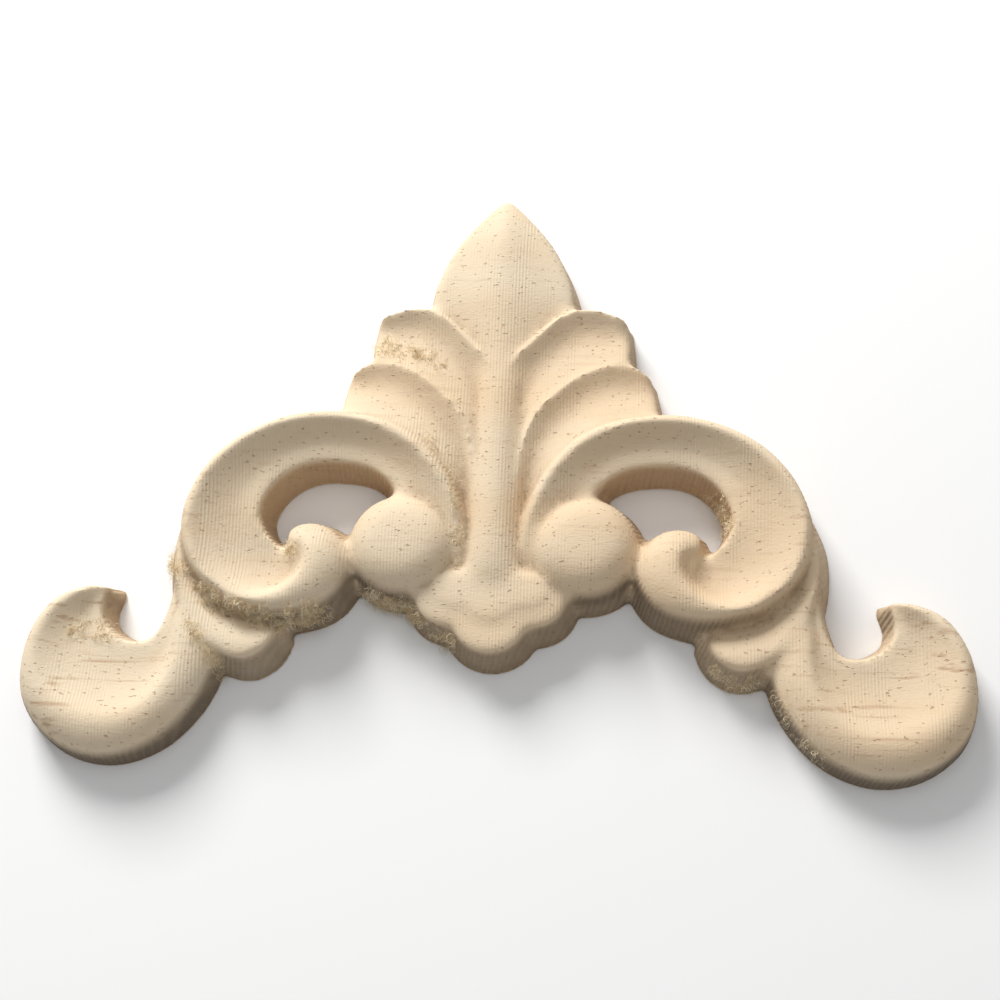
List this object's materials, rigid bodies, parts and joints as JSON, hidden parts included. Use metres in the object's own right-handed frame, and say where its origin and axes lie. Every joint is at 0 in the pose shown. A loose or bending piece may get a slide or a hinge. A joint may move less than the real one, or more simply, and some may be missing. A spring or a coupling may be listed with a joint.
{
  "type": "carved corner onlay",
  "caption": "Small carved wooden corner onlay with a pointed leaf, side leaves, pierced C-scrolls and end curls, flat at the back for gluing to a panel corner.",
  "frame": {"origin": "middle of the overall rectangle, on the flat back face", "axes": "+X along the longest extent, +Y towards the tip of the pointed leaf, +Z out of the carved face"},
  "size_m": [0.1035, 0.0671, 0.0085],
  "materials": {
    "bare_wood": "unfinished, as milled and lightly sanded"
  },
  "bodies": {
    "root": {"corner_onlay": "bare_wood"}
  },
  "joints": []
}
